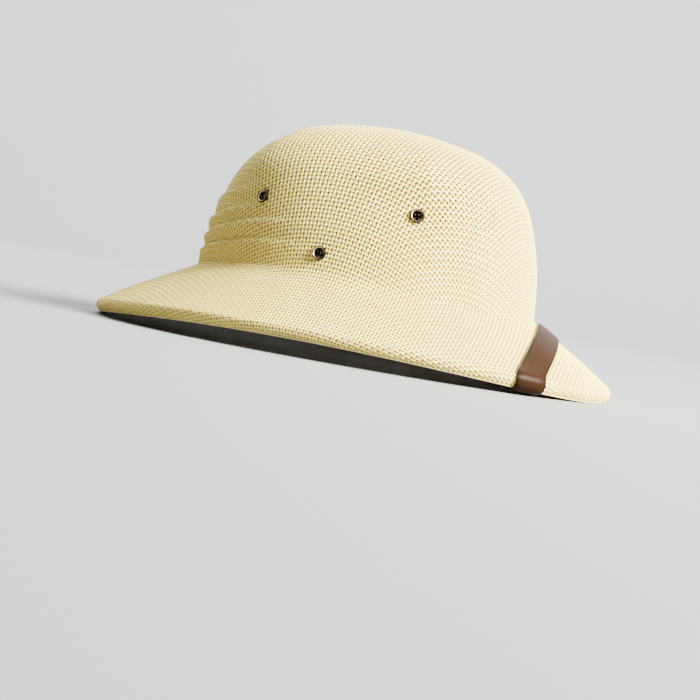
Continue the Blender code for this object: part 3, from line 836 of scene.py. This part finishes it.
def solve(rising, low, high):
    """Where rising functions pass zero, for whole arrays, by halving."""
    for _ in range(40):
        middle = (low + high) / 2
        below = rising(middle) < 0
        low, high = np.where(below, middle, low), np.where(below, high, middle)
    return (low + high) / 2


def brim_place(x, y):
    """The brim table's row and the angle of the brim point above a plan position."""
    rim = len(BRIM_ROWS) - 1.0
    row = solve(lambda row: within(row, x, y), np.zeros_like(x), np.full_like(x, rim))
    half_width, half_length = front_brim_size(row)
    sine = (np.abs(x) / half_width) ** (PLAN_SQUARENESS / 2)
    cosine = (np.abs(y - MIDDLE_Y) / half_length) ** (PLAN_SQUARENESS / 2)
    return row, np.copysign(np.arctan2(sine, cosine), x)


def strap_over_bill(hand):
    """Rows of points from the middle of the bill to the hem's inner edge, left (1) or right (-1)."""
    rim = np.full(sides.shape, len(BRIM_ROWS) - 1.0)
    reach = solve(lambda x: -within(rim, hand * x, strap_y(hand * x, sides)),
                  np.zeros_like(sides), np.full_like(sides, CROWN_WIDTH))
    x = hand * reach * np.linspace(0, SHARE_OVER_BILL, BILL_ROWS)[:, None]
    row, angle = brim_place(x, strap_y(x, sides))
    step = 0.002
    down = brim_at(row + step, angle) - brim_at(row - step, angle)
    round_ = brim_at(row, angle + step) - brim_at(row, angle - step)
    over = brim_at(row, angle) + unit(np.cross(down, round_)) * STRAP_LIFT
    rim_angle = brim_place(hand * reach, strap_y(hand * reach, sides))[1]
    slope = roll_slope(rim_angle)
    turn = np.linspace(0, 1, ROLL_ROWS)[:, None]
    lean = (slope + (np.pi - slope) * turn)[..., None]
    away = outward(rim_angle) * np.sin(lean) + np.array([0, 0, 1.0]) * np.cos(lean)
    round_rim = roll_at(turn, rim_angle[None, :] + 0 * turn) + away * STRAP_LIFT
    hem_edge = round_rim[-1] - outward(rim_angle) * (HEM_WIDTH + STRAP_THICKNESS)
    return np.concatenate((over, round_rim, hem_edge[None]))


def strap_seat(hand, last, step=0.01):
    """Rows of points on the crown's inner wall, round the lower eyelet that holds the strap's end."""
    _, angle, height = EYELETS[2]
    angle = angle * hand
    here, normal = crown_place(height, angle)
    row = crown_row(height)
    climb = crown_at(crown_row(height + step), angle) - crown_at(crown_row(height - step), angle)
    climb = climb / (2 * step)
    round_ = (crown_at(row, angle + step) - crown_at(row, angle - step)) / (2 * step)
    forward = last[len(sides) // 2] - here
    forward = unit(forward - normal * (forward @ normal))
    across = np.cross(normal, forward)
    across *= np.sign(across @ (last[-1] - last[0]))
    rows = []
    for reach, width in STRAP_SEAT:
        move = forward * STRAP_END * reach + across * STRAP_WIDTH / 2 * width * sides[:, None]
        up = move @ (climb - round_ * (climb @ round_) / (round_ @ round_)) / (climb @ climb)
        turn = move @ round_ / (round_ @ round_)
        seats = [crown_place(height + u, angle + t) for u, t in zip(up, turn)]
        depth = STRAW_WALL + GAP * 2 + STRAP_THICKNESS / 2
        rows.append([spot - out * depth for spot, out in seats])
    return np.array(rows)


def strap_half(hand):
    over = strap_over_bill(hand)
    seat = strap_seat(hand, over[-1])
    share = np.linspace(0, 1, HANGING_ROWS)[1:-1, None, None]
    slack = np.array([-4 * hand * STRAP_SLACK, 0, 0]) * share * (1 - share)
    return np.concatenate((over, over[-1] + (seat[0] - over[-1]) * share + slack, seat))


sheet = np.concatenate((strap_half(-1)[::-1], strap_half(1)[1:]))
middle_line = sheet[:, len(sides) // 2]
walked = np.concatenate(([0], np.cumsum(np.linalg.norm(np.diff(middle_line, axis=0), axis=1))))
stops = np.linspace(0, walked[-1], int(walked[-1] / STRAP_SPACING))
even = np.empty((len(stops), len(sides), 3))
for column_number in range(len(sides)):
    for axis in range(3):
        even[:, column_number, axis] = np.interp(stops, walked, sheet[:, column_number, axis])
for _ in range(SMOOTHING_ROUNDS):
    even[1:-1] = (even[:-2] + 2 * even[1:-1] + even[2:]) / 4
print("strap length, mm:", round(walked[-1] / MM, 1), "rows:", len(stops))

# %% [markdown]
# **The strap's thickness.** Cut leather has a flat face and beveled edges, so the sheet gets a section
# that is full across the middle and thin at its edges. A hole is then punched at each end with a Boolean
# modifier, as a maker punches it, for the lower eyelet to pass through.

# %% The strap, with soft edges and a punched hole at each end
EDGE_SQUARENESS = 14             # the more, the narrower the bevel
EDGE_LEFT = 0.12                 # share of the thickness that is left at the very edge, squared
STRAP_SHARP = math.radians(55)
PUNCH_RADIUS = EYELET_BORE / 2 + EYELET_METAL + GAP / 2
PUNCH_LENGTH = 16 * MM


def strap_mesh(name, sheet):
    down = np.gradient(sheet, axis=0)
    across = np.gradient(sheet, axis=1)
    normal = unit(np.cross(across, down))
    half = STRAP_THICKNESS / 2
    full = np.sqrt(np.clip(1 - np.abs(sides) ** EDGE_SQUARENESS, EDGE_LEFT, 1))[None, :, None]
    upper = sheet + normal * half * full
    lower = sheet - normal * half * full
    rings = np.concatenate((upper, lower[:, ::-1]), 1)
    mesh = closed_loft(name, rings)
    place_across = np.broadcast_to(np.concatenate((sides, sides[::-1])), rings.shape[:2])
    give_values(mesh, "strap_across", place_across)
    return mesh


strap = show("leather_strap", strap_mesh("leather_strap", even))
punches = []
for hand_name in ("left", "right"):
    bpy.ops.mesh.primitive_cylinder_add(vertices=32, radius=PUNCH_RADIUS, depth=PUNCH_LENGTH)
    punch = bpy.context.object
    punch.matrix_world = stood_at(f"lower_{hand_name}")
    hole = strap.modifiers.new(f"punched_{hand_name}", "BOOLEAN")
    hole.object = punch
    punches.append(punch)
whole = bpy.data.meshes.new_from_object(strap.evaluated_get(bpy.context.evaluated_depsgraph_get()))
strap.modifiers.clear()
strap.data = whole
for punch in punches:
    bpy.data.objects.remove(punch)
strap.data.set_sharp_from_angle(angle=STRAP_SHARP)
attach(strap, "root")
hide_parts("chin_strap")
print("strap polygons:", len(strap.data.polygons))

# %% [markdown]
# **Materials.** Shader maths reads best as expressions. `Wire` wraps a socket, so that `1 - mask * 0.3`
# adds the Math nodes it needs, and `Finish.node` makes any other node from its type, settings and inputs.
# The nodes that several finishes need have a short method of their own.

# %% Shader helper
class Wire:
    """A number socket that can stand in an expression."""

    def __init__(self, finish, socket):
        self.finish = finish
        self.socket = socket

    def maths(self, operation, first, second):
        return self.finish.node("ShaderNodeMath", {"operation": operation}, {0: first, 1: second})

    def __add__(self, other):
        return self.maths("ADD", self, other)

    def __sub__(self, other):
        return self.maths("SUBTRACT", self, other)

    def __rsub__(self, other):
        return self.maths("SUBTRACT", other, self)

    def __mul__(self, other):
        return self.maths("MULTIPLY", self, other)

    __radd__ = __add__
    __rmul__ = __mul__


class Finish:
    """A material built on one Principled shader."""

    def __init__(self, name, **fixed):
        self.material = bpy.data.materials.new(name)
        self.material.use_nodes = True
        self.tree = self.material.node_tree
        self.shader = self.tree.nodes["Principled BSDF"]
        for key, value in fixed.items():
            self.shader.inputs[key.replace("_", " ")].default_value = value

    def node(self, kind, settings=None, inputs=None, output=0):
        """A node of a type, its settings first, then the values or wires of its sockets."""
        made = self.tree.nodes.new(kind)
        for key, value in (settings or {}).items():
            setattr(made, key, value)
        for key, value in (inputs or {}).items():
            if isinstance(value, Wire):
                self.tree.links.new(value.socket, made.inputs[key])
            else:
                made.inputs[key].default_value = value
        return Wire(self, made.outputs[output])

    def mix(self, share, first, second):
        """A colour between two colours."""
        first, second = ((*colour, 1) if isinstance(colour, tuple) else colour for colour in (first, second))
        return self.node("ShaderNodeMix", {"data_type": "RGBA"}, {0: share, 6: first, 7: second}, output=2)

    def place(self):
        return self.node("ShaderNodeTexCoord", output="Object")

    def attribute(self, name):
        return self.node("ShaderNodeAttribute", {"attribute_name": name}, output="Fac")

    def noise(self, place, scale, detail):
        return self.node("ShaderNodeTexNoise", None, {"Vector": place, "Scale": scale, "Detail": detail})

    def step(self, value, low, high):
        """0 where a value is under one limit, 1 over another, smooth on the way."""
        return self.node("ShaderNodeMapRange", {"interpolation_type": "SMOOTHSTEP"},
                         {"Value": value, "From Min": low, "From Max": high})

    def bump(self, strength, depth, height):
        return self.node("ShaderNodeBump", None, {"Strength": strength, "Distance": depth, "Height": height})

    def give(self, **wires):
        for key, value in wires.items():
            self.tree.links.new(value.socket, self.shader.inputs[key.replace("_", " ")])

# %% [markdown]
# ** Straw.** Paper straw is a twisted ribbon of paper: cream, matte, a little glossy on its crown, with fine fibres along it. No two yarns take the dye alike, and each one fades and darkens along its way. An image of straw would repeat, so the finish mixes a few plain colours by each yarn's own tone and by noise. It then paints shade in by the value that the yarns carry: nearly black beside the holes and on the yarns' undersides.

# %% Straw finish
STRAW_DEEP, STRAW_LIGHT = (0.83, 0.64, 0.125), (0.93, 0.765, 0.175)
STRAW_STREAK = (0.70, 0.48, 0.09)
# Painted shade: the straw's colour beside the holes and on the yarns' undersides
STRAW_PAINTED_SHADE = (0.022, 0.018, 0.012)
FIBRES_ALONG, FIBRES_ACROSS = 900.0, 2400.0    # over the flat layout's length and width
straw = Finish("woven_straw", Roughness=0.62, Specular_IOR_Level=0.35)
flat_place = straw.node("ShaderNodeUVMap", {"uv_map": "OFBake"})
tone = straw.attribute("yarn_tone")
patches = straw.noise(straw.place(), 28.0, 2.0)
fibre_place = straw.node("ShaderNodeMapping", None,
                         {"Vector": flat_place, "Scale": (FIBRES_ALONG, FIBRES_ACROSS, 1.0)})
fibres = straw.noise(fibre_place, 1.0, 2.0)
body = straw.mix(tone * 0.6 + patches * 0.5 - 0.1, STRAW_DEEP, STRAW_LIGHT)
streaked = straw.mix(fibres * 0.3, body, STRAW_STREAK)
# Painted shade: the straw is mixed towards nearly black by each point's painted-shade value
straw.give(Base_Color=straw.mix(straw.attribute("yarn_painted_shade"), streaked, STRAW_PAINTED_SHADE))
straw.give(Normal=straw.bump(0.25, 0.1 * MM, fibres))
print("straw finish, nodes:", len(straw.tree.nodes))
for piece in cloth:
    piece.data.materials.append(straw.material)
    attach(piece, "root")
    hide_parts("crown_and_brim")

# %% [markdown]
# **The hem's straw.** The strip is the same paper, laid flat. It has no holes and no yarns, so one noise
# between two close colours is enough.

# %% Hem finish
HEM_DEEP, HEM_LIGHT = (0.76, 0.56, 0.24), (0.86, 0.68, 0.30)
plain = Finish("hem_straw", Roughness=0.7, Specular_IOR_Level=0.3)
plain.give(Base_Color=plain.mix(plain.noise(plain.place(), 90.0, 3.0), HEM_DEEP, HEM_LIGHT))
print("hem finish, nodes:", len(plain.tree.nodes))
hem.data.materials.append(plain.material)
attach(hem, "root")
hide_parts("crown_and_brim")

# %% [markdown]
# ** Brass.** The eyelets have a dark antique finish, nearly black in the recess. Along the dome's crest and the bore's edge the brass is painted bright and a little smoother, as a painted highlight. Height over the straw tells where the painted highlight reaches, and the distance from the axis keeps the flange's outer edge, which lies in shade, dark.

# %% Brass finish
BRASS_DARK, BRASS_HIGHLIGHT = (0.010, 0.0075, 0.005), (0.62, 0.50, 0.30)
brass = Finish("dark_brass", Metallic=1.0)
place = brass.place()
height = brass.node("ShaderNodeSeparateXYZ", None, {"Vector": place}, output="Z")
flat = brass.node("ShaderNodeVectorMath", {"operation": "MULTIPLY"}, {0: place, 1: (1, 1, 0)})
radius = brass.node("ShaderNodeVectorMath", {"operation": "LENGTH"}, {0: flat}, output="Value")
# Painted highlight: bright brass high on the dome, kept off the shaded outer edge, with noise through it
highlight_height = brass.step(height, 0.15 * MM, 0.7 * MM)
shaded_rim = brass.step(radius, 3.60 * MM, 3.80 * MM)
highlight_mask = highlight_height * (1 - shaded_rim) * (brass.noise(place, 900.0, 3.0) * 0.7 + 0.3)
brass.give(Base_Color=brass.mix(highlight_mask, BRASS_DARK, BRASS_HIGHLIGHT), Roughness=0.50 - highlight_mask * 0.15)
print("brass finish, nodes:", len(brass.tree.nodes))
for eyelet in eyelets:
    eyelet.data.materials.append(brass.material)

# %% [markdown]
# ** Leather.** The strap's face is smooth and waxed, chestnut in the middle and nearly black towards both edges. Fine grain shows only where light rakes over it.

# %% Leather finish
LEATHER_DEEP, LEATHER_LIGHT = (0.0135, 0.0056, 0.0026), (0.0185, 0.0080, 0.0038)
LEATHER_EDGE = (0.006, 0.004, 0.0035)
DARK_EDGE_START, DARK_EDGE_FULL = 0.80, 0.93    # shares of the way from the middle to the edge
leather = Finish("brown_leather", Specular_IOR_Level=0.02)
place = leather.place()
edge = leather.node("ShaderNodeMath", {"operation": "ABSOLUTE"}, {0: leather.attribute("strap_across")})
dark_edge = leather.step(edge, DARK_EDGE_START, DARK_EDGE_FULL)
clouds = leather.noise(place, 60.0, 3.0)
pores = leather.node("ShaderNodeTexVoronoi", None, {"Vector": place, "Scale": 1400.0}, output="Distance")
face = leather.mix(clouds, LEATHER_DEEP, LEATHER_LIGHT)
leather.give(Base_Color=leather.mix(dark_edge * 0.9, face, LEATHER_EDGE))
leather.give(Roughness=0.27 + clouds * 0.10, Normal=leather.bump(0.15, 0.05 * MM, pores))
print("leather finish, nodes:", len(leather.tree.nodes))
strap.data.materials.clear()
strap.data.materials.append(leather.material)

# %% [markdown]
# **Room.** A floor and a wall that meet in a corner would draw a line behind the hat. A sweep of paper
# curves up from one to the other instead, as in a studio, so the backdrop stays plain.

# %% Room
VIEW_TURN = math.radians(18)     # from straight on to the hat's right side, towards the front
CURVE_STEPS = 12
PAPER_DEEP, PAPER_LIGHT = (0.18, 0.183, 0.187), (0.20, 0.203, 0.207)


def sweep(width, depth, height, radius, ahead):
    """A floor that curves up into a wall behind the hat, as seen by the camera."""
    profile = [(-ahead, 0.0), (depth - radius, 0.0)]
    for step in range(1, CURVE_STEPS + 1):
        turn = math.pi / 2 * step / CURVE_STEPS
        profile.append((depth - radius + radius * math.sin(turn), radius * (1 - math.cos(turn))))
    profile.append((depth, height))
    spots = np.array([(far, side * width / 2, up) for far, up in profile for side in (-1, 1)])
    step = 2 * np.arange(len(profile) - 1)[:, None]
    return spots, step + np.array([[0, 1, 3, 2]])


spots, quads = sweep(width=8.0, depth=2.6, height=3.5, radius=1.0, ahead=3.0)
backdrop = show("backdrop", mesh_from("backdrop", spots, quads))
backdrop.rotation_euler.z = VIEW_TURN
paper = Finish("backdrop_paper", Roughness=0.9)
grain = paper.node("ShaderNodeTexNoise", None, {"Scale": 3.0, "Detail": 2.0})
paper.give(Base_Color=paper.mix(grain, PAPER_DEEP, PAPER_LIGHT))
backdrop.data.materials.append(paper.material)
print("backdrop, quads:", len(backdrop.data.polygons))

# %% [markdown]
# **Light.** A large soft window on the right, high and a little in front, lights the crown's front and
# leaves its back in shade. A weak light overhead and an even room keep the shade open, and a wash on the
# wall behind keeps the backdrop pale. Places are given as the camera sees them, from the hat's middle,
# because that is how a photographer sets lamps.

# %% Lamps
HAT_MIDDLE = Vector((0, MIDDLE_Y, 0.062))
AHEAD = Vector((math.cos(VIEW_TURN), math.sin(VIEW_TURN), 0))
RIGHT = Vector((math.sin(VIEW_TURN), -math.cos(VIEW_TURN), 0))
UP = Vector((0, 0, 1))
LAMPS = [
    # name, stands (right, up, towards the camera), aims at, size, watts, colour
    ("window", (1.72, 1.07, 0.85), (0, 0, 0), (1.0, 1.0), 650, (0.99, 1.0, 0.90)),
    ("ceiling", (-0.3, 1.9, 0.2), (0, 0, 0), (1.6, 1.6), 18, (1.0, 0.93, 0.95)),
    ("wall_wash", (0.0, 2.2, -1.0), (0.0, 0.5, -2.6), (3.0, 0.5), 400, (0.965, 0.98, 1.0)),
]
ROOM_COLOUR = (0.98, 0.97, 1.0, 1)
ROOM_STRENGTH = 0.125


def area_light(name, place, aim, size, power, colour):
    lamp = bpy.data.lights.new(name, "AREA")
    lamp.shape = "RECTANGLE"
    lamp.size, lamp.size_y = size
    lamp.energy = power
    lamp.color = colour
    stand = bpy.data.objects.new(name, lamp)
    stand.location = place
    stand.rotation_euler = (Vector(aim) - Vector(place)).to_track_quat("-Z", "Y").to_euler()
    bpy.context.scene.collection.objects.link(stand)


def seen_from(right, up, towards):
    """A place given as the camera sees it, from the hat's middle."""
    return HAT_MIDDLE + RIGHT * right + UP * up - AHEAD * towards


for name, stands, aims, size, watts, colour in LAMPS:
    area_light(name, seen_from(*stands), seen_from(*aims), size, watts, colour)
world = bpy.data.worlds.new("room")
world.use_nodes = True
background = world.node_tree.nodes["Background"]
background.inputs["Color"].default_value = ROOM_COLOUR
background.inputs["Strength"].default_value = ROOM_STRENGTH
bpy.context.scene.world = world
print("lamps:", [lamp[0] for lamp in LAMPS])

# %% [markdown]
# **Camera.** A long lens, held level with the hat and rolled a little. It is placed from the hat's middle
# and from the pixel where that middle stands in the picture, so that either can change by itself.

# %% Camera
VIEW_RISE = math.radians(0.1)
VIEW_ROLL = math.radians(9.75)
VIEW_DISTANCE = 1.30
FRAME_PIXELS = 700
FOCAL_PIXELS = 2063.0
AIM_PIXEL = (371.0, 260.2)        # where the middle of the hat stands in the photograph
SENSOR = 36.0

lens = bpy.data.cameras.new("camera")
lens.sensor_width = SENSOR
lens.lens = FOCAL_PIXELS * SENSOR / FRAME_PIXELS
camera = bpy.data.objects.new("camera", lens)
bpy.context.scene.collection.objects.link(camera)
bpy.context.scene.camera = camera
back = -AHEAD * math.cos(VIEW_RISE) + UP * math.sin(VIEW_RISE)
camera.location = HAT_MIDDLE + back * VIEW_DISTANCE
level = Matrix((RIGHT, back.cross(RIGHT), back)).transposed()
aim_right = (AIM_PIXEL[0] - FRAME_PIXELS / 2) / FOCAL_PIXELS
aim_up = (FRAME_PIXELS / 2 - AIM_PIXEL[1]) / FOCAL_PIXELS
# The ray through the aim pixel has to run along the camera's own way to the hat's middle
ray = Vector((aim_right, aim_up, -1)).normalized()
roll = Matrix.Rotation(VIEW_ROLL, 3, "Z")
swing = Vector((0, 0, -1)).rotation_difference(roll @ ray).to_matrix()
camera.rotation_euler = (level @ swing.inverted() @ roll).to_euler()
print("lens, mm:", round(lens.lens, 1), "camera:", [round(v, 3) for v in camera.location])
